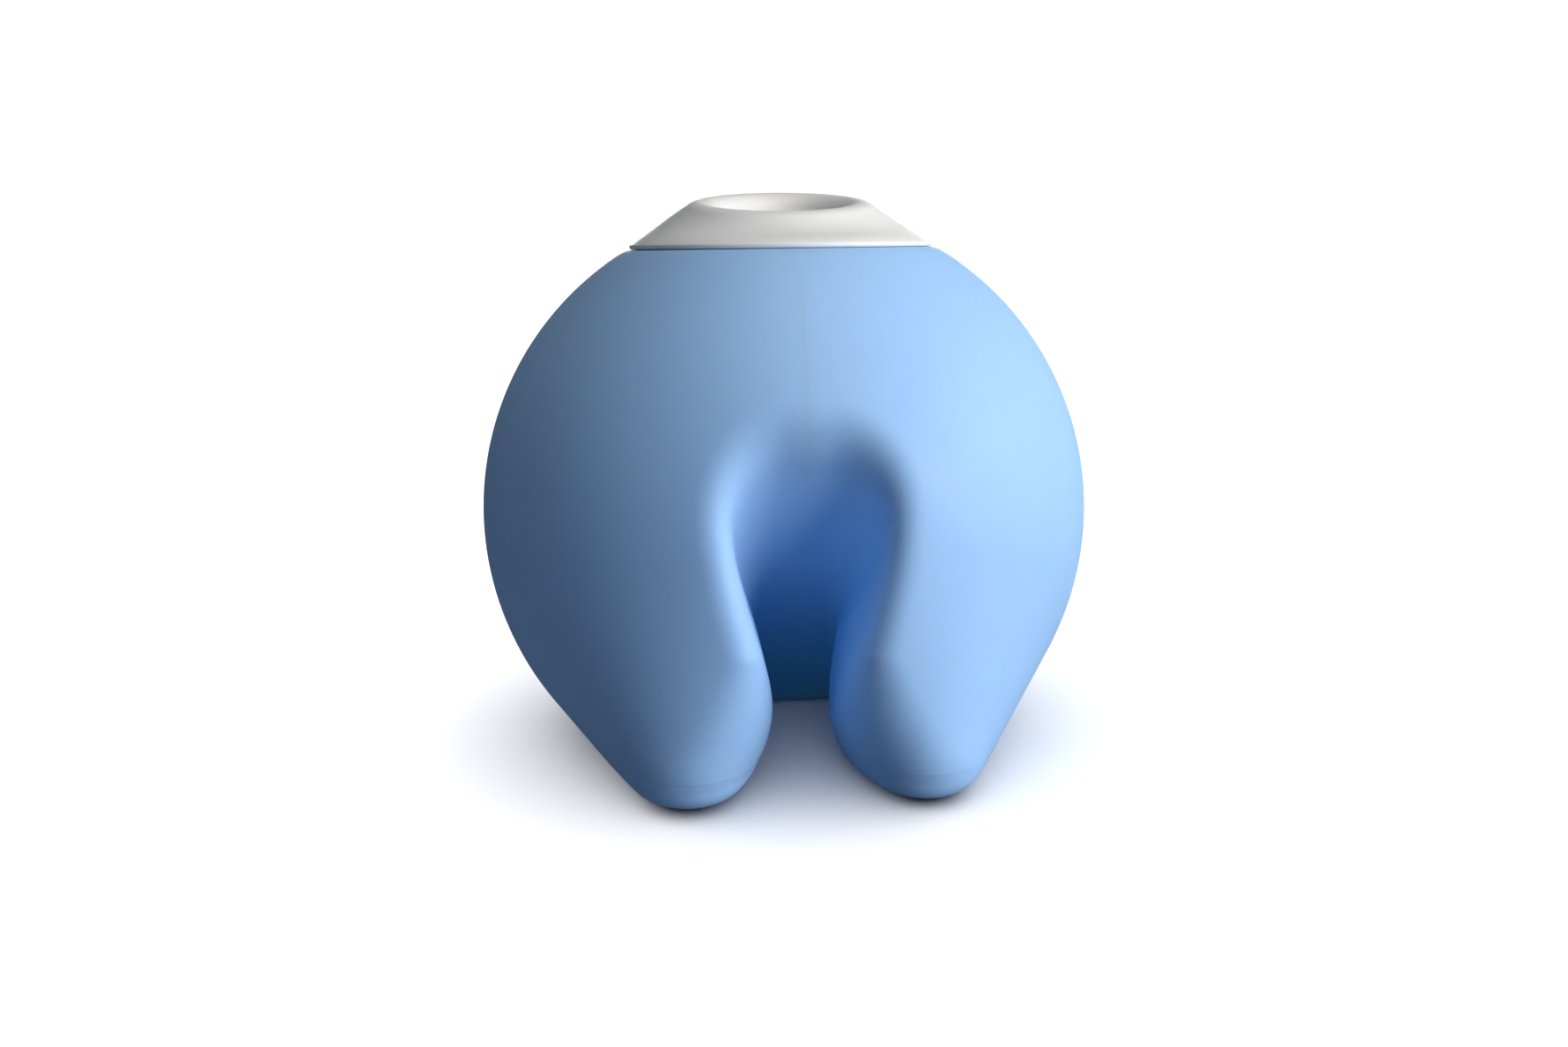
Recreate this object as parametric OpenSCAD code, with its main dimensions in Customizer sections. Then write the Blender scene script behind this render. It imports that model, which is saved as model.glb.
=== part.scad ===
// Pipette filler bulb: a hollow silicone ball on a flat base, with a finger notch between
// two legs, and a dished nose cap that grips the pipette and carries the filter.
// Frame: millimetres, +Z up, origin on the base plane under the centre of the ball,
// the notch opens towards -Y.

/* [Ball] */
// Outer radius of the ball
ball_r = 30.4; // [28:0.2:34]
// Height of the ball's centre over the base plane
ball_z = 22.5; // [20:0.5:25]
// Wall thickness of the silicone
wall = 3; // [2.2:0.1:3.6]

/* [Legs] */
// Radius of the rounded toe at the end of each leg
toe_r = 8.5; // [7:0.5:10]
// Distance of each toe's centre from the middle plane
toe_x = 8.3; // [8:0.1:12]
// Distance of each toe's centre in front of the ball's centre
toe_reach = 20.8; // [17:0.1:21]
// Height of each toe's centre over the base plane
toe_z = 5.5; // [5:0.5:8]

/* [Notch] */
// Half of the notch's width at its back wall and under the arch
notch_half = 6.6; // [5.6:0.2:7]
// Half of the gap where the legs pinch the notch
pinch_half = 2.9; // [2.8:0.1:3.4]
// Distance in front of the ball's centre at which the legs have closed in
pinch_reach = 16; // [14:0.5:17]
// Height up to which the legs stay closed in
pinch_to_z = 7; // [5:1:9]
// Height from which the gap has its full width
pinch_gone_z = 27; // [24:1:28]
// Distance behind the ball's centre where the notch's back wall meets the base
notch_foot_y = 3.2; // [1:0.1:6]
// Lean of the notch's back wall from the vertical, in degrees
notch_lean = 43; // [42:1:48]
// Corner radius where the back wall meets the legs, at the base
corner_low_r = 1.6; // [1:0.2:2.4]
// Corner radius under the arch
corner_high_r = 5; // [3:0.2:5.2]

/* [Squeeze] */
// Half of the width of the flexible web between the two halves of the ball
web_half = 2.7; // [2:0.1:2.7]
// Slit on each side of the web
web_slit = 0.1; // [0.05:0.05:0.2]
// Height at which the moving halves end
lobe_top_z = 43.4; // [42.5:0.1:43.6]

/* [Mouth] */
// Height of the bulb's lip, on which the cap rests
lip_z = 48.8; // [48:0.2:49]
// Height of the underside of the crown
crown_bottom_z = 44.3; // [44:0.1:44.6]
// Radius of the mouth in the silicone
mouth_r = 12.5; // [12:0.1:13]
// Inner radius of the rigid neck ring
neck_bore_r = 11; // [10.8:0.1:11.4]

/* [Cap] */
// Radius of the brim that covers the lip
brim_r = 15; // [14.6:0.1:15.6]
// Thickness of the brim's edge
brim_t = 0.4; // [0.3:0.1:0.8]
// Radius of the rim's crest
rim_r = 8; // [7.6:0.1:8.4]
// Roundness of the rim
rim_round = 2.4; // [2:0.1:2.6]
// Height of the crest over the lip, at the cap's axis
rim_height = 4.5; // [4.2:0.1:5]
// Forward tilt of the rim and its dish, in degrees
rim_tilt = 8; // [0:1:9]
// Radius of the dish's mouth
dish_r = 7.2; // [6.8:0.1:7.6]
// Depth of the dish under the rim
dish_depth = 2.3; // [1.8:0.1:2.6]

/* [Pipette seal] */
// Radius of the bore that grips the pipette
socket_r = 3.5; // [3:0.1:4]
// Length of that bore
socket_length = 8; // [7:0.5:8.5]

/* [Filter] */
// Thickness of the filter membrane
filter_t = 0.6; // [0.4:0.1:0.8]
// Thickness of the gasket over the filter
gasket_t = 0.8; // [0.6:0.1:1]
// Number of spokes under the filter
spoke_count = 6; // [4:1:8]

/* [Hidden] */

// Fineness of the free-form shells, of the nose, of the bores and of small round parts
shell_fn = 56;
nose_fn = 72;
toe_fn = 32;
bore_fn = 96;

// A length that reaches past every part, the thickness of a thin slice, and how far two slices
// that join reach into each other
far = 80;
slice_t = 0.2;
slice_overlap = 0.6;

// Small clearances: between fitted parts, and between a part and the one it slides in
fit_gap = 0.05;
slide_gap = 0.1;

// Plug of the cap: the skirt that slides into the neck ring
skirt_r = neck_bore_r - 2 * slide_gap;
skirt_bore_r = skirt_r - 1.9;
skirt_length = 9.4;
skirt_bottom_z = lip_z - skirt_length;
cap_seat_z = lip_z + slide_gap;
deck_z = lip_z - 0.6;

// Height of the dish's lowest point, and radius of its spherical floor
dish_floor_z = rim_height - dish_depth;
dish_sphere_r = (dish_r * dish_r + dish_depth * dish_depth) / (2 * dish_depth);

// Neck ring
neck_bottom_z = 42.8;
neck_top_z = lip_z - 0.4;
neck_flange_r = 14.4;
lip_t = 3;

// O-ring on the skirt
ring_wire_r = 0.6;
ring_z = 46.2;
ring_centre_r = neck_bore_r - slide_gap - ring_wire_r;

// Stack inside the skirt, from the top down
stack_r = skirt_bore_r - fit_gap;
seal_wall = 1.5;
seal_r = socket_r + seal_wall;
seal_flange_t = 1.3;
seal_flange_z = deck_z - seal_flange_t;
seal_top_z = lip_z + dish_floor_z - 0.2;
seal_bottom_z = seal_top_z - socket_length;
retainer_shelf_t = 1;
retainer_wall = 1.1;
gasket_z = 42.2;
gasket_width = 1.6;
filter_z = gasket_z - filter_t;
holder_t = 1.4;
holder_z = filter_z - holder_t;
holder_rim = 1.6;
hub_r = 1.8;
spoke_w = 1.1;

// Colours
silicone_blue = [0.55, 0.72, 0.93];
cap_white = [0.9, 0.89, 0.87];
seal_grey = [0.82, 0.83, 0.84];
ring_grey = [0.6, 0.62, 0.65];
gasket_black = [0.16, 0.16, 0.17];
filter_white = [0.96, 0.96, 0.94];

// The ball with its two legs, all pulled in by the inset
module ball_and_legs(inset) {
    hull() {
        translate([0, 0, ball_z]) sphere(r = ball_r - inset, $fn = shell_fn);
        for (side = [-1, 1])
            translate([side * toe_x, -toe_reach, toe_z])
                sphere(r = toe_r - inset, $fn = toe_fn);
    }
}

// Share of the way from the pinched part of the notch up to the arch, eased at both ends
function rise(z) =
    let (t = min(1, max(0, (z - pinch_to_z) / (pinch_gone_z - pinch_to_z)))) t * t * (3 - 2 * t);

// Half of the gap between the legs at a height, always a little less than the notch's own half
function gap_half(z) = pinch_half + (notch_half - slice_overlap / 2 - pinch_half) * rise(z);

// Corner radius of the notch at a height
function corner_r(z) = corner_low_r + (corner_high_r - corner_low_r) * rise(z);

// Where the notch's back wall stands at a height, for a wall moved back by grow
function notch_back(z, grow) =
    notch_foot_y - z * tan(notch_lean) + grow / cos(notch_lean);

// Where the gap between the legs starts, in front of the back wall's round corners
function gap_y(z) = min(-pinch_reach, notch_back(z, 0) - corner_r(z) - 1);

// One flat slice of the chamber between the back wall and the gap
module chamber_slice(z, grow) {
    corner = corner_r(z) + grow;
    front_half = gap_half(z) + grow - slice_overlap / 2;
    translate([0, 0, z])
        linear_extrude(height = slice_t)
            hull() {
                for (side = [-1, 1])
                    translate([side * (notch_half + grow - corner), notch_back(z, grow) - corner])
                        circle(r = corner, $fn = toe_fn);
                translate([-front_half, gap_y(z)]) square([2 * front_half, slice_t]);
            }
}

// One flat slice of the gap between the legs, open to the front, and reaching into the chamber
module gap_slice(z, grow) {
    gap = gap_half(z) + grow;
    translate([-gap, -far, z]) cube([2 * gap, far + gap_y(z) + 2 * slice_overlap, slice_t]);
}

// The notch, or with grow the notch and the silicone around it
module notch(grow) {
    levels = [-wall, pinch_to_z, (pinch_to_z + pinch_gone_z) / 2, pinch_gone_z, ball_z + ball_r];
    for (i = [0 : len(levels) - 2]) {
        hull() {
            chamber_slice(levels[i], grow);
            chamber_slice(levels[i + 1], grow);
        }
        hull() {
            gap_slice(levels[i], grow);
            gap_slice(levels[i + 1], grow);
        }
    }
}

// The whole silicone wall below the crown
module bulb_wall() {
    difference() {
        intersection() {
            ball_and_legs(0);
            translate([-far / 2, -far / 2, 0]) cube([far, far, far]);
        }
        notch(0);
        difference() {
            intersection() {
                ball_and_legs(wall);
                translate([-far / 2, -far / 2, wall]) cube([far, far, far]);
            }
            notch(wall);
        }
    }
}

// The left moving half of the ball
module left_lobe() {
    color(silicone_blue)
        intersection() {
            bulb_wall();
            translate([-web_half - web_slit - far, -far / 2, -1]) cube([far, far, lobe_top_z + 1]);
        }
}

// The right moving half, a mirror image of the left one
module right_lobe() {
    mirror([1, 0, 0]) left_lobe();
}

// The strip of silicone between the halves, which takes up the squeeze
module bulb_web() {
    color(silicone_blue)
        intersection() {
            bulb_wall();
            translate([-web_half, -far / 2, -1])
                cube([2 * web_half, far, crown_bottom_z + 1]);
        }
}

// The top of the ball, with the mouth and its lip
module bulb_crown() {
    color(silicone_blue)
        difference() {
            intersection() {
                translate([0, 0, ball_z]) sphere(r = ball_r, $fn = bore_fn);
                translate([0, 0, crown_bottom_z])
                    cylinder(r = ball_r, h = lip_z - crown_bottom_z, $fn = bore_fn);
            }
            intersection() {
                translate([0, 0, ball_z]) sphere(r = ball_r - wall, $fn = bore_fn);
                cylinder(r = ball_r, h = lip_z - lip_t, $fn = bore_fn);
            }
            cylinder(r = mouth_r, h = far, $fn = bore_fn);
        }
}

// Rigid ring bonded into the mouth, with a flange under the lip
module neck_ring() {
    color(ring_grey)
        difference() {
            union() {
                translate([0, 0, neck_bottom_z])
                    cylinder(r = mouth_r - fit_gap, h = neck_top_z - neck_bottom_z, $fn = bore_fn);
                translate([0, 0, crown_bottom_z])
                    cylinder(r = neck_flange_r, h = lip_z - lip_t - crown_bottom_z - fit_gap,
                        $fn = bore_fn);
            }
            cylinder(r = neck_bore_r, h = far, $fn = bore_fn);
        }
}

// O-ring in the groove of the cap's skirt
module neck_seal() {
    color(gasket_black)
        translate([0, 0, ring_z])
            rotate_extrude($fn = bore_fn)
                translate([ring_centre_r, 0]) circle(r = ring_wire_r, $fn = toe_fn);
}

// Tilts what it holds about the middle of the lip, as the rim and its dish are
module tilted() {
    translate([0, 0, lip_z]) rotate([rim_tilt, 0, 0]) children();
}

// Solid nose: a straight flank from the brim up to the tilted round rim, flat underneath
module nose() {
    hull() {
        translate([0, 0, cap_seat_z]) cylinder(r = brim_r, h = brim_t, $fn = nose_fn);
        intersection() {
            tilted()
                rotate_extrude($fn = nose_fn)
                    translate([rim_r, rim_height - rim_round]) circle(r = rim_round, $fn = toe_fn);
            translate([-far / 2, -far / 2, cap_seat_z]) cube([far, far, far]);
        }
    }
}

// White cap: brim, tilted nose with its dish, and the skirt that plugs into the neck ring
module nose_cap() {
    color(cap_white)
        difference() {
            union() {
                nose();
                translate([0, 0, skirt_bottom_z])
                    cylinder(r = skirt_r, h = skirt_length + 1, $fn = bore_fn);
            }
            tilted()
                translate([0, 0, dish_floor_z + dish_sphere_r])
                    sphere(r = dish_sphere_r, $fn = bore_fn);
            translate([0, 0, skirt_bottom_z - 1])
                cylinder(r = skirt_bore_r, h = deck_z - skirt_bottom_z + 1, $fn = bore_fn);
            cylinder(r = seal_r + fit_gap, h = far, $fn = bore_fn);
            translate([0, 0, ring_z])
                difference() {
                    translate([0, 0, -ring_wire_r - fit_gap])
                        cylinder(r = far, h = 2 * (ring_wire_r + fit_gap), $fn = bore_fn);
                    translate([0, 0, -far / 2])
                        cylinder(r = ring_centre_r - ring_wire_r - fit_gap, h = far, $fn = bore_fn);
                }
        }
}

// Soft sleeve that grips the pipette, hung from the cap by its flange
module pipette_seal() {
    color(seal_grey)
        difference() {
            union() {
                translate([0, 0, seal_bottom_z])
                    cylinder(r = seal_r, h = socket_length, $fn = bore_fn);
                translate([0, 0, seal_flange_z])
                    cylinder(r = stack_r, h = seal_flange_t, $fn = bore_fn);
            }
            cylinder(r = socket_r, h = far, $fn = bore_fn);
        }
}

// Ring that holds the seal's flange up and spaces the filter below it
module seal_retainer() {
    bottom_z = gasket_z + gasket_t;
    color(ring_grey)
        difference() {
            translate([0, 0, bottom_z])
                cylinder(r = stack_r, h = seal_flange_z - bottom_z, $fn = bore_fn);
            translate([0, 0, bottom_z - 1])
                cylinder(r = stack_r - retainer_wall,
                    h = seal_flange_z - retainer_shelf_t - bottom_z + 1, $fn = bore_fn);
            cylinder(r = seal_r + slide_gap, h = far, $fn = bore_fn);
        }
}

// Flat ring that clamps the filter's edge
module filter_gasket() {
    color(gasket_black)
        translate([0, 0, gasket_z])
            difference() {
                cylinder(r = stack_r, h = gasket_t, $fn = bore_fn);
                translate([0, 0, -1])
                    cylinder(r = stack_r - gasket_width, h = gasket_t + 2, $fn = bore_fn);
            }
}

// Hydrophobic membrane that keeps liquid out of the bulb
module filter_disc() {
    color(filter_white)
        translate([0, 0, filter_z]) cylinder(r = stack_r, h = filter_t, $fn = bore_fn);
}

// Spoked ring that snaps into the skirt under the filter
module filter_holder() {
    color(ring_grey)
        translate([0, 0, holder_z]) {
            difference() {
                cylinder(r = stack_r, h = holder_t, $fn = bore_fn);
                translate([0, 0, -1])
                    cylinder(r = stack_r - holder_rim, h = holder_t + 2, $fn = bore_fn);
            }
            cylinder(r = hub_r, h = holder_t, $fn = toe_fn);
            for (i = [0 : spoke_count - 1])
                rotate([0, 0, i * 360 / spoke_count])
                    translate([hub_r / 2, -spoke_w / 2, 0])
                        cube([stack_r - holder_rim / 2 - hub_r / 2, spoke_w, holder_t]);
        }
}

bulb_crown();
bulb_web();
left_lobe();
right_lobe();
neck_ring();
neck_seal();
nose_cap();
pipette_seal();
seal_retainer();
filter_gasket();
filter_disc();
filter_holder();
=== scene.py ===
import math

import bmesh
import bpy
import numpy as np
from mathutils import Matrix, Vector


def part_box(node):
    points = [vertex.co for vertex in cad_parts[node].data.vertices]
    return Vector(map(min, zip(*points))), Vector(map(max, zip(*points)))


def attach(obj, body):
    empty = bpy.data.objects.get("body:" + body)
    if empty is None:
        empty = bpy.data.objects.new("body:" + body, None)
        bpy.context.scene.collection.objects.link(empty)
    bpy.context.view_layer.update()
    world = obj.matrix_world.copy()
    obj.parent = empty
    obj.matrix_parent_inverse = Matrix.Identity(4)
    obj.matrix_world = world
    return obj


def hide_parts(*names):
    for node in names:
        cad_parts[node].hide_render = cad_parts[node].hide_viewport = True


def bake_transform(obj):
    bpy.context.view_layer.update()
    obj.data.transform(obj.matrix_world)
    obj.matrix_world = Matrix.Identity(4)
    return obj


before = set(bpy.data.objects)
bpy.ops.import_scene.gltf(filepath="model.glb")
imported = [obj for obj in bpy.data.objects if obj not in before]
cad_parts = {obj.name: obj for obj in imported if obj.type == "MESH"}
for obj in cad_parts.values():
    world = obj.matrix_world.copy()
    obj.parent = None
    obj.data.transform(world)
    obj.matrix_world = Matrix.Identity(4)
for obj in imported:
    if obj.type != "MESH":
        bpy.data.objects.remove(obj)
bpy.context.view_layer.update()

import openvdb
from mathutils import Quaternion, Vector

MM = 0.001

# ---------------------------------------------------------------- sizes, in millimetres

# Taken from the frame: the bulb's lip
lip_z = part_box("bulb_crown")[1].z / MM

# Ball and legs
BALL_R = 30.4
BALL_Z = 22.5
WALL = 3.0
TOE_R = 8.5
TOE_X = 8.5
TOE_REACH = 20.8
TOE_Z = 5.5

# Rounding of the base's edge. It is sharper where the notch's back wall meets the base, and
# changes between these two distances from there
BASE_ROUND = 2.6
BASE_ROUND_AT_WALL = 1.0
NEAR_WALL = 4.0
FAR_FROM_WALL = 10.0

# Notch: half of its width, and half of the gap where the legs pinch it
NOTCH_HALF = 6.6
PINCH_HALF = 2.9
# The legs close in between these two depths, fully up to the first of these heights, and no
# longer from the second
PINCH_FROM_Y = 1.0
PINCH_FULL_Y = -16.0
PINCH_TO_Z = 7.0
PINCH_GONE_Z = 27.0
# Back wall of the notch: where it meets the base, how it leans, and its corners
NOTCH_FOOT_Y = 3.2
NOTCH_LEAN = math.radians(43)
NOTCH_CORNER_LOW = 1.6
NOTCH_CORNER_HIGH = 5.0
# Width of the blend from the notch into the outside, and the heights between which it changes
FILLET_LOW = 12.0
FILLET_HIGH = 3.2
FILLET_LOW_Z = 3.0
FILLET_HIGH_Z = 15.0

# How deep in the notch the painted glow starts and reaches full strength: emission that stands in
# for the light passing through the silicone into its hollows
PAINTED_GLOW_FROM = 1.0
PAINTED_GLOW_FULL = 9.0

# Mouth
MOUTH_R = 12.5
MOUTH_FROM_Z = 38.0
LIP_T = 3.0
LIP_ROUND = 0.5
CAVITY_ROUND = 1.0

# Skin: size of its quads, the room left around it, and the steps that settle it on its field
SKIN_VOXEL = 0.5
SKIN_ROOM = 2.0
SKIN_ROOM_Z = 1.5
SKIN_STEPS = 4
LEAST_SLOPE = 0.05

# Cap, as radii and as heights over the lip
BRIM_R = 15.0
BRIM_ROUND = 0.25
BRIM_TOP_R = 14.88
BRIM_TOP_H = 0.3
RIM_R = 8.0
RIM_H = 4.5
RIM_ROUND = 2.4
FLANK_BEND = (12.6, 2.0)
DISH_DEPTH = 2.3
DISH_BEND_R = 5.4
DISH_BEND_RISE = 0.15
RIM_TILT = math.radians(8)
SKIRT_R = 10.8
SKIRT_BORE_R = 8.9
SKIRT_BOTTOM = -9.4
SKIRT_ROOT = 0.3
SKIRT_CHAMFER = 0.4
SKIRT_BORE_CHAMFER = 0.2
DECK_UNDER = -0.6
SEAL_BORE_R = 5.05
RING_GROOVE_Z = -2.6
RING_GROOVE_HALF = 0.65
RING_GROOVE_R = 9.65

# Cap: first and last angle of its round stretches, points along them, and steps round its axis
RIM_ARC = (148, 56)
BRIM_ARC = (40, -90)
DISH_POINTS = 10
RIM_POINTS = 22
FLANK_POINTS = 24
BRIM_POINTS = 7
CAP_TURNS = 240
CAP_SHARP = math.radians(40)

# ---------------------------------------------------------------- finishes, in metres

# Parting line of the mould: height, half of its width, and how far it stands proud
PARTING_Z = 0.004
PARTING_HALF = 0.00012
PARTING_RISE = 0.00006
PARTING_STRENGTH = 0.35

# Moulded surfaces: scales of the mottling and of the uneven gloss, the strength of the grain,
# and the middle stretch of a noise over which a value changes
MOTTLE_SCALE = 90
GLOSS_SCALE = 260
GRAIN_STRENGTH = 0.25
NOISE_LOW = 0.3
NOISE_HIGH = 0.7

# ---------------------------------------------------------------- camera, floor and light, in metres

VIEW_AZIMUTH = math.radians(-4.6)
VIEW_ELEVATION = math.radians(10.8)
VIEW_DISTANCE = 0.1415
VIEW_DIP = math.radians(0.7)
VIEW_ROLL = math.radians(0.7)
LENS = 31.35

# Floor: its radius, its colour to the eye, and its colour for the light that it passes on
FLOOR_R = 4.0
FLOOR_COLOUR = (0.88, 0.88, 0.89)
FLOOR_BOUNCE = (0.1, 0.13, 0.18)

# Surroundings: brightness to the eye, and the fill light that comes from in front and behind
SKY_STRENGTH = 1.05
FILL_COLOUR = (0.8, 0.9, 1)
FILL_FRONT = 0.025
FILL_BEHIND = 0.12
FILL_FROM_Y = -0.3
FILL_TO_Y = 1.0

# Lights: direction in degrees, distance and size, and power in watts; or a spread in degrees
# and a strength
KEY_LIGHT = dict(azimuth=60, elevation=15, distance=0.6, size=(0.62, 0.34), power=4.15,
                 colour=(1.0, 1.0, 1.0))
TOP_LIGHT = dict(azimuth=42, elevation=73, distance=0.6, size=(0.42, 0.42), power=1.33,
                 colour=(1.0, 0.99, 0.98))
BACK_LIGHT = dict(azimuth=175, elevation=4, distance=0.6, size=(0.26, 0.2), power=2.2,
                  colour=(0.95, 0.98, 1.0))
TABLE_LIGHT = dict(azimuth=10, elevation=86, spread=125, strength=4.8)

# ---------------------------------------------------------------- small helpers


def new_object(name, data):
    obj = bpy.data.objects.new(name, data)
    bpy.context.scene.collection.objects.link(obj)
    return obj


def smooth_step(value, low, high):
    """Goes from 0 at low to 1 at high, eased at both ends."""
    t = np.clip((value - low) / (high - low), 0, 1)
    return t * t * (3 - 2 * t)


def smooth_max(a, b, width):
    """The larger of two distances, rounded over a width where they meet."""
    share = np.clip(0.5 - 0.5 * (b - a) / width, 0, 1)
    return b + (a - b) * share + width * share * (1 - share)


# ---------------------------------------------------------------- the silicone bulb


def ball_and_legs(x, y, z):
    """Distance to the ball joined to a toe by a tapering leg on each side."""
    axis = np.array([TOE_X, -TOE_REACH, TOE_Z - BALL_Z])
    length2 = float(axis @ axis)
    taper = BALL_R - TOE_R
    slant2 = length2 - taper * taper
    along = np.abs(x) * axis[0] + y * axis[1] + (z - BALL_Z) * axis[2]
    past_toe = along - length2
    off = [p * length2 - axis[i] * along for i, p in enumerate((np.abs(x), y, z - BALL_Z))]
    off2 = off[0] ** 2 + off[1] ** 2 + off[2] ** 2
    along2 = along * along * length2
    past2 = past_toe * past_toe * length2
    limit = taper * taper * off2
    d = (np.sqrt(off2 * slant2 / length2) + along * taper) / length2 - BALL_R
    d = np.where(np.sign(along) * slant2 * along2 < limit,
                 np.sqrt(off2 + along2) / length2 - BALL_R, d)
    return np.where(np.sign(past_toe) * slant2 * past2 > limit,
                    np.sqrt(off2 + past2) / length2 - TOE_R, d)


def notch(x, y, z):
    """Distance to the notch: a slot that the legs pinch, with a back wall that leans forward."""
    height_share = smooth_step(z, PINCH_TO_Z, PINCH_GONE_Z)
    pinch = (1 - height_share) * smooth_step(-y, -PINCH_FROM_Y, -PINCH_FULL_Y)
    half = NOTCH_HALF - (NOTCH_HALF - PINCH_HALF) * pinch
    corner = NOTCH_CORNER_LOW + (NOTCH_CORNER_HIGH - NOTCH_CORNER_LOW) * height_share
    behind = (y - NOTCH_FOOT_Y) * math.cos(NOTCH_LEAN) + z * math.sin(NOTCH_LEAN)
    past_side = np.abs(x) - half + corner
    past_back = behind + corner
    past_corner = np.hypot(np.maximum(past_side, 0), np.maximum(past_back, 0))
    return past_corner - corner + np.minimum(np.maximum(past_side, past_back), 0)


def bulb_outside(x, y, z):
    """Distance to the outside of the bulb, without its mouth."""
    fillet = FILLET_LOW + (FILLET_HIGH - FILLET_LOW) * np.clip(
        (z - FILLET_LOW_Z) / (FILLET_HIGH_Z - FILLET_LOW_Z), 0, 1)
    d = smooth_max(ball_and_legs(x, y, z), -notch(x, y, z), fillet)
    near_wall = 1 - smooth_step(np.hypot(x, y - NOTCH_FOOT_Y), NEAR_WALL, FAR_FROM_WALL)
    return smooth_max(d, -z, BASE_ROUND + (BASE_ROUND_AT_WALL - BASE_ROUND) * near_wall)


def bulb_wall(x, y, z):
    """Distance to the silicone: the outside, the cavity and the mouth with its lip."""
    outside = bulb_outside(x, y, z)
    cavity = smooth_max(outside + WALL, z - (lip_z - LIP_T), CAVITY_ROUND)
    d = smooth_max(outside, z - lip_z, LIP_ROUND)
    d = smooth_max(d, -cavity, LIP_ROUND)
    mouth = np.maximum(np.hypot(x, y) - MOUTH_R, MOUTH_FROM_Z - z)
    return smooth_max(d, -mouth, LIP_ROUND)


def slope(field, points, step=0.02):
    """How fast a field grows along X, Y and Z at each point."""
    grown = np.empty_like(points)
    for axis in range(3):
        shift = np.zeros(3)
        shift[axis] = step
        grown[:, axis] = (field(*(points + shift).T) - field(*(points - shift).T)) / (2 * step)
    return grown


def unit(vectors):
    return vectors / np.maximum(np.linalg.norm(vectors, axis=1, keepdims=True), 1e-9)


def surface_of(field, low, high, voxel):
    """Quads on the zero surface of a field, in millimetres."""
    axes = [np.arange(low[i], high[i] + voxel, voxel) for i in range(3)]
    x, y, z = np.meshgrid(*axes, indexing="ij")
    grid = openvdb.FloatGrid(float(3 * voxel))
    grid.copyFromArray(field(x, y, z).astype(np.float32))
    points, quads = grid.convertToQuads(isovalue=0.0)
    points = np.array(points, float) * voxel + np.array(low)
    for _ in range(SKIN_STEPS):
        grown = slope(field, points)
        size = np.maximum((grown ** 2).sum(axis=1, keepdims=True), LEAST_SLOPE)
        points -= field(*points.T)[:, None] * grown / size
    return points, np.array(quads)[:, ::-1]


def half_mesh(name, points, quads, normals_field, side):
    """The half of a surface on one side of the middle plane, shaded by the field's own slope."""
    mesh = bpy.data.meshes.new(name)
    mesh.from_pydata(points.tolist(), [], quads.tolist())
    bm = bmesh.new()
    bm.from_mesh(mesh)
    bmesh.ops.bisect_plane(bm, geom=bm.verts[:] + bm.edges[:] + bm.faces[:], dist=1e-4,
                           plane_co=(0, 0, 0), plane_no=(-side, 0, 0), clear_outer=True)
    bmesh.ops.recalc_face_normals(bm, faces=bm.faces[:])
    bm.to_mesh(mesh)
    bm.free()
    places = np.array([v.co for v in mesh.vertices], float)
    normals = unit(slope(normals_field, places))
    mesh.vertices.foreach_set("co", (places * MM).astype(np.float32).ravel())
    mesh.shade_smooth()
    mesh.normals_split_custom_set_from_vertices(normals.tolist())
    # Painted glow mask: how deep each point lies in the notch, which sets the emission standing in
    # for light there
    painted_glow_depth = mesh.attributes.new("painted_glow_depth", "FLOAT", "POINT")
    depth = smooth_step(-ball_and_legs(*places.T), PAINTED_GLOW_FROM, PAINTED_GLOW_FULL)
    painted_glow_depth.data.foreach_set("value", depth.astype(np.float32))
    mesh.update()
    return mesh


def make_bulb(material):
    """The silicone moulding, as two halves that meet on the middle plane."""
    reach = BALL_R + SKIN_ROOM
    points, quads = surface_of(bulb_wall, (-reach, -reach, -SKIN_ROOM_Z),
                               (reach, reach, lip_z + SKIN_ROOM_Z), SKIN_VOXEL)
    for side, word, body in ((-1, "left", "left_half"), (1, "right", "right_half")):
        mesh = half_mesh("bulb_skin_" + word, points, quads, bulb_wall, side)
        mesh.materials.append(material)
        skin = new_object("bulb_skin_" + word, mesh)
        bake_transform(skin)
        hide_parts(word + "_lobe", "bulb_web", "bulb_crown")


# ---------------------------------------------------------------- the nose cap


def arc(centre, radius, start, end, count):
    """Points along an arc, with angles in degrees from the profile's outward axis."""
    return [(centre[0] + radius * math.cos(math.radians(a)),
             centre[1] + radius * math.sin(math.radians(a)))
            for a in np.linspace(start, end, count)]


def curve(start, bend, end, count):
    """Points after the start of a curve that leaves it and arrives towards the bend."""
    return [tuple((1 - t) ** 2 * a + 2 * t * (1 - t) * b + t * t * c
                  for a, b, c in zip(start, bend, end))
            for t in np.linspace(0, 1, count + 1)[1:]]


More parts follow.
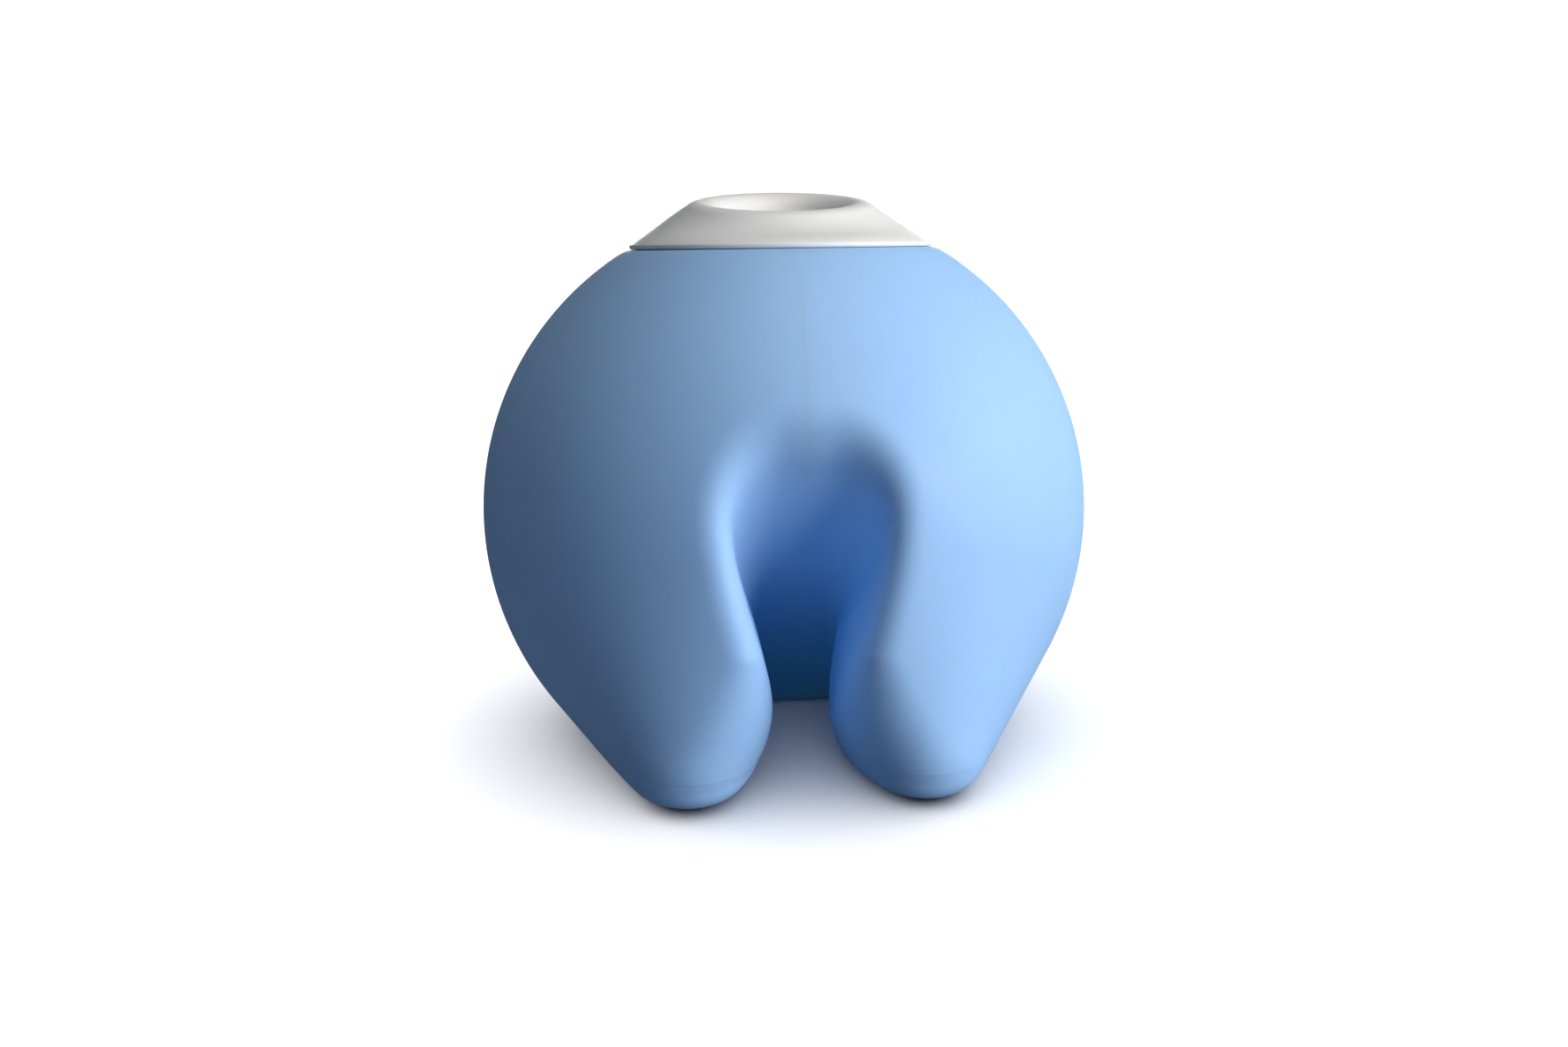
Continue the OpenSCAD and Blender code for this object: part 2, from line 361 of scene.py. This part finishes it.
def skirt_outline():
    """Radius and height of the cap's points under the brim: the skirt, its groove and its bore."""
    return [
        (SKIRT_R + SKIRT_ROOT, 0.0),
        (SKIRT_R, 0.0),
        (SKIRT_R, RING_GROOVE_Z + RING_GROOVE_HALF),
        (RING_GROOVE_R, RING_GROOVE_Z + RING_GROOVE_HALF),
        (RING_GROOVE_R, RING_GROOVE_Z - RING_GROOVE_HALF),
        (SKIRT_R, RING_GROOVE_Z - RING_GROOVE_HALF),
        (SKIRT_R, SKIRT_BOTTOM + SKIRT_CHAMFER),
        (SKIRT_R - SKIRT_CHAMFER, SKIRT_BOTTOM),
        (SKIRT_BORE_R + SKIRT_BORE_CHAMFER, SKIRT_BOTTOM),
        (SKIRT_BORE_R, SKIRT_BOTTOM + SKIRT_BORE_CHAMFER),
        (SKIRT_BORE_R, DECK_UNDER),
        (SEAL_BORE_R, DECK_UNDER),
    ]


def cap_profile():
    """The cap's outline from the socket's edge over the rim to the brim, and back inside.

    Each point is radius, height over the lip, and how much of the rim's tilt it takes.
    """
    dish_floor = RIM_H - DISH_DEPTH
    socket_edge = (SEAL_BORE_R, dish_floor)
    dish_bend = (DISH_BEND_R, dish_floor + DISH_BEND_RISE)
    rim = arc((RIM_R, RIM_H - RIM_ROUND), RIM_ROUND, *RIM_ARC, RIM_POINTS)
    dish = curve(socket_edge, dish_bend, rim[0], DISH_POINTS)
    flank = curve(rim[-1], FLANK_BEND, (BRIM_TOP_R, BRIM_TOP_H), FLANK_POINTS)
    brim = arc((BRIM_R - BRIM_ROUND, BRIM_ROUND), BRIM_ROUND, *BRIM_ARC, BRIM_POINTS)
    points = [(r, h, 1.0) for r, h in [socket_edge] + dish + rim]
    for i, (r, h) in enumerate(flank):
        points.append((r, h, 1 - smooth_step((i + 1) / len(flank), 0, 1).item()))
    return points + [(r, h, 0.0) for r, h in brim + skirt_outline()]


def make_cap(material):
    """The cap, turned from its profile, with its rim lower towards the notch."""
    profile = cap_profile()
    count = len(profile)
    tan_tilt = math.tan(RIM_TILT)
    places = []
    for turn in range(CAP_TURNS):
        angle = 2 * math.pi * turn / CAP_TURNS
        for r, h, tilt in profile:
            x, y = r * math.cos(angle), r * math.sin(angle)
            places.append((x * MM, y * MM, (lip_z + h + y * tan_tilt * tilt) * MM))
    faces = []
    for turn in range(CAP_TURNS):
        after = (turn + 1) % CAP_TURNS
        for i in range(count):
            j = (i + 1) % count
            faces.append((turn * count + i, turn * count + j, after * count + j, after * count + i))
    mesh = bpy.data.meshes.new("nose_cap_shell")
    mesh.from_pydata(places, [], faces)
    bm = bmesh.new()
    bm.from_mesh(mesh)
    bmesh.ops.recalc_face_normals(bm, faces=bm.faces[:])
    bm.to_mesh(mesh)
    bm.free()
    mesh.shade_smooth()
    mesh.set_sharp_from_angle(angle=CAP_SHARP)
    mesh.materials.append(material)
    cap = new_object("nose_cap_shell", mesh)
    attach(cap, "cap")
    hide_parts("nose_cap")


# ---------------------------------------------------------------- materials


def shader(name, colour, roughness, **sockets):
    """A material with a Principled shader; returns it with its nodes and links."""
    material = bpy.data.materials.new(name)
    material.use_nodes = True
    nodes, links = material.node_tree.nodes, material.node_tree.links
    principled = nodes["Principled BSDF"]
    principled.inputs["Base Color"].default_value = (*colour, 1)
    principled.inputs["Roughness"].default_value = roughness
    for socket, value in sockets.items():
        principled.inputs[socket.replace("_", " ")].default_value = value
    return material, nodes, links, principled


def object_noise(nodes, links, scale, detail=3.0):
    """Noise that is fixed to the object."""
    place = nodes.new("ShaderNodeTexCoord")
    noise = nodes.new("ShaderNodeTexNoise")
    noise.inputs["Scale"].default_value = scale
    noise.inputs["Detail"].default_value = detail
    links.new(place.outputs["Object"], noise.inputs["Vector"])
    return noise.outputs["Fac"]


def colour_between(nodes, links, source, low, high):
    """A colour that goes from low to high as the source goes from 0 to 1."""
    node = nodes.new("ShaderNodeMix")
    node.data_type = "RGBA"
    node.inputs["A"].default_value = (*low, 1)
    node.inputs["B"].default_value = (*high, 1)
    links.new(source, node.inputs["Factor"])
    return [o for o in node.outputs if o.type == "RGBA"][0]


def value_between(nodes, links, noise, low, high):
    """A value that goes from low to high over the middle stretch of a noise."""
    node = nodes.new("ShaderNodeMapRange")
    node.inputs["From Min"].default_value = NOISE_LOW
    node.inputs["From Max"].default_value = NOISE_HIGH
    node.inputs["To Min"].default_value = low
    node.inputs["To Max"].default_value = high
    links.new(noise, node.inputs["Value"])
    return node.outputs["Result"]


def moulded(name, dark, light, roughness, grain, depth, **sockets):
    """Moulded plastic or silicone: faint mottling, a fine grain and uneven gloss."""
    material, nodes, links, principled = shader(name, light, roughness[0], **sockets)
    mottle = object_noise(nodes, links, MOTTLE_SCALE, 4)
    links.new(colour_between(nodes, links, mottle, dark, light), principled.inputs["Base Color"])
    gloss = object_noise(nodes, links, GLOSS_SCALE)
    links.new(value_between(nodes, links, gloss, *roughness), principled.inputs["Roughness"])
    bump = nodes.new("ShaderNodeBump")
    bump.inputs["Strength"].default_value = GRAIN_STRENGTH
    bump.inputs["Distance"].default_value = depth
    links.new(object_noise(nodes, links, grain, 2), bump.inputs["Height"])
    links.new(bump.outputs["Normal"], principled.inputs["Normal"])
    return material


def painted_glow_in_notch(material, colour):
    """Painted glow: emission, stronger deeper in the notch, that stands in for the light soft
    silicone passes on into its own hollows, which stay deep blue.
    """
    nodes, links = material.node_tree.nodes, material.node_tree.links
    principled = nodes["Principled BSDF"]
    painted_glow_depth = nodes.new("ShaderNodeAttribute")
    painted_glow_depth.attribute_name = "painted_glow_depth"
    glow = colour_between(nodes, links, painted_glow_depth.outputs["Fac"], (0, 0, 0), colour)
    links.new(glow, principled.inputs["Emission Color"])
    principled.inputs["Emission Strength"].default_value = 1.0


def parting_line(material):
    """The fine raised line that the mould leaves around the bulb at one height."""
    nodes, links = material.node_tree.nodes, material.node_tree.links
    normal = nodes["Principled BSDF"].inputs["Normal"]
    grain = normal.links[0].from_socket
    place = nodes.new("ShaderNodeTexCoord")
    split = nodes.new("ShaderNodeSeparateXYZ")
    off = nodes.new("ShaderNodeMath")
    off.operation = "SUBTRACT"
    off.inputs[1].default_value = PARTING_Z
    distance = nodes.new("ShaderNodeMath")
    distance.operation = "ABSOLUTE"
    line = nodes.new("ShaderNodeMapRange")
    line.interpolation_type = "SMOOTHSTEP"
    line.inputs["From Min"].default_value = PARTING_HALF
    line.inputs["From Max"].default_value = 0
    bump = nodes.new("ShaderNodeBump")
    bump.inputs["Strength"].default_value = PARTING_STRENGTH
    bump.inputs["Distance"].default_value = PARTING_RISE
    links.new(place.outputs["Object"], split.inputs[0])
    links.new(split.outputs["Z"], off.inputs[0])
    links.new(off.outputs[0], distance.inputs[0])
    links.new(distance.outputs[0], line.inputs["Value"])
    links.new(line.outputs["Result"], bump.inputs["Height"])
    links.new(grain, bump.inputs["Normal"])
    links.new(bump.outputs["Normal"], normal)


def blue_silicone():
    material = moulded("blue_silicone", (0.335, 0.565, 0.905), (0.355, 0.59, 0.93), (0.5, 0.62),
                       3200, 0.00002, Subsurface_Weight=0.25, Subsurface_Scale=0.002,
                       Subsurface_Radius=(0.3, 0.6, 1.2), Specular_IOR_Level=0.35)
    # Painted glow in the notch: a faint blue emission standing in for light passed through the
    # silicone
    painted_glow_in_notch(material, (0.0002, 0.014, 0.034))
    parting_line(material)
    return material


def white_plastic():
    return moulded("white_cap", (0.87, 0.86, 0.85), (0.91, 0.9, 0.89), (0.42, 0.52),
                   2600, 0.000012)


def seal_silicone():
    return moulded("seal_silicone", (0.66, 0.67, 0.68), (0.72, 0.73, 0.74), (0.45, 0.55),
                   2600, 0.00001)


def inner_plastic():
    return moulded("inner_plastic", (0.4, 0.42, 0.45), (0.46, 0.48, 0.51), (0.38, 0.48),
                   2200, 0.00001)


def gasket_rubber():
    return moulded("gasket_rubber", (0.02, 0.02, 0.022), (0.03, 0.03, 0.032), (0.55, 0.7),
                   3000, 0.00001)


def filter_membrane():
    return moulded("filter_membrane", (0.8, 0.8, 0.78), (0.9, 0.9, 0.88), (0.8, 0.95),
                   5200, 0.00003)


def finish_inner_parts():
    """Gives their materials to the CAD nodes that stay in view."""
    silicone = seal_silicone()
    plastic = inner_plastic()
    rubber = gasket_rubber()
    membrane = filter_membrane()
    finishes = {
        "neck_ring": plastic,
        "neck_seal": rubber,
        "pipette_seal": silicone,
        "seal_retainer": plastic,
        "filter_gasket": rubber,
        "filter_disc": membrane,
        "filter_holder": plastic,
    }
    for node_name, material in finishes.items():
        for slot in bpy.data.objects[node_name].material_slots:
            slot.material = material


# ---------------------------------------------------------------- camera, floor and light


def direction(azimuth, elevation):
    """Unit vector from the object, azimuth 0 towards -Y and 90 degrees towards +X."""
    return Vector((math.sin(azimuth) * math.cos(elevation),
                   -math.cos(azimuth) * math.cos(elevation), math.sin(elevation)))


def aim(obj, towards):
    obj.rotation_mode = "QUATERNION"
    obj.rotation_quaternion = towards.to_track_quat("-Z", "Y")


def make_camera():
    data = bpy.data.cameras.new("camera")
    data.lens = LENS
    data.clip_start = 0.005
    data.clip_end = 20
    camera = new_object("camera", data)
    ball_centre = Vector((0, 0, BALL_Z * MM))
    camera.location = ball_centre + direction(VIEW_AZIMUTH, VIEW_ELEVATION) * VIEW_DISTANCE
    aim(camera, -direction(VIEW_AZIMUTH, VIEW_ELEVATION + VIEW_DIP))
    camera.rotation_quaternion @= Quaternion((0, 0, 1), -VIEW_ROLL)
    bpy.context.scene.camera = camera


def make_floor():
    """A pale disc under the object that passes little light on."""
    mesh = bpy.data.meshes.new("floor")
    bm = bmesh.new()
    bmesh.ops.create_circle(bm, cap_ends=True, segments=96, radius=FLOOR_R)
    bm.to_mesh(mesh)
    bm.free()
    material, nodes, links, principled = shader("floor_paper", FLOOR_COLOUR, 0.9)
    seen = nodes.new("ShaderNodeLightPath").outputs["Is Camera Ray"]
    links.new(colour_between(nodes, links, seen, FLOOR_BOUNCE, FLOOR_COLOUR),
              principled.inputs["Base Color"])
    mesh.materials.append(material)
    floor = new_object("floor", mesh)
    floor.visible_glossy = False
    return floor


def area_light(name, azimuth, elevation, distance, size, power, colour):
    data = bpy.data.lights.new(name, "AREA")
    data.shape = "RECTANGLE"
    data.size, data.size_y = size
    data.energy = power
    data.color = colour
    light = new_object(name, data)
    towards = direction(math.radians(azimuth), math.radians(elevation))
    light.location = Vector((0, 0, BALL_Z * MM)) + towards * distance
    aim(light, -towards)
    return light


def sky_light(name, azimuth, elevation, spread, strength):
    """A wide even light from one side of the sky, the same all over the floor."""
    data = bpy.data.lights.new(name, "SUN")
    data.angle = math.radians(spread)
    data.energy = strength
    light = new_object(name, data)
    aim(light, -direction(math.radians(azimuth), math.radians(elevation)))
    return light


def only_on(light, name, receivers):
    """Lets a light fall only on some objects; everything still casts its shadow."""
    group = bpy.data.collections.new(name)
    for obj in receivers:
        group.objects.link(obj)
    light.light_linking.receiver_collection = group


def not_on(light, name, spared):
    """Keeps a light off some objects."""
    only_on(light, name, spared)
    for linked in light.light_linking.receiver_collection.collection_objects:
        linked.light_linking.link_state = "EXCLUDE"


def make_world():
    """White to the eye; on the object a dim fill, brighter from the backdrop behind."""
    world = bpy.data.worlds.new("studio")
    world.use_nodes = True
    nodes, links = world.node_tree.nodes, world.node_tree.links
    nodes.clear()
    seen = nodes.new("ShaderNodeBackground")
    seen.inputs["Color"].default_value = (1, 1, 1, 1)
    seen.inputs["Strength"].default_value = SKY_STRENGTH
    fill = nodes.new("ShaderNodeBackground")
    fill.inputs["Color"].default_value = (*FILL_COLOUR, 1)
    place = nodes.new("ShaderNodeTexCoord")
    split = nodes.new("ShaderNodeSeparateXYZ")
    spread = nodes.new("ShaderNodeMapRange")
    spread.interpolation_type = "SMOOTHSTEP"
    spread.inputs["From Min"].default_value = FILL_FROM_Y
    spread.inputs["From Max"].default_value = FILL_TO_Y
    spread.inputs["To Min"].default_value = FILL_FRONT
    spread.inputs["To Max"].default_value = FILL_BEHIND
    links.new(place.outputs["Generated"], split.inputs[0])
    links.new(split.outputs["Y"], spread.inputs["Value"])
    links.new(spread.outputs["Result"], fill.inputs["Strength"])
    path = nodes.new("ShaderNodeLightPath")
    mix = nodes.new("ShaderNodeMixShader")
    out = nodes.new("ShaderNodeOutputWorld")
    links.new(path.outputs["Is Camera Ray"], mix.inputs["Fac"])
    links.new(fill.outputs[0], mix.inputs[1])
    links.new(seen.outputs[0], mix.inputs[2])
    links.new(mix.outputs[0], out.inputs["Surface"])
    bpy.context.scene.world = world


def make_lights(floor):
    """Three lights for the object alone, and one for the floor alone."""
    key = area_light("key", **KEY_LIGHT)
    top = area_light("top", **TOP_LIGHT)
    table_light = sky_light("table_light", **TABLE_LIGHT)
    back = area_light("back", **BACK_LIGHT)
    only_on(table_light, "lit_by_table_light", [floor])
    not_on(key, "not_lit_by_key", [floor])
    not_on(top, "not_lit_by_top", [floor])
    not_on(back, "not_lit_by_back", [floor])


bulb_silicone = blue_silicone()
cap_plastic = white_plastic()
finish_inner_parts()

make_camera()
make_world()
make_lights(make_floor())
bpy.context.scene.view_settings.view_transform = "Standard"

make_bulb(bulb_silicone)
make_cap(cap_plastic)
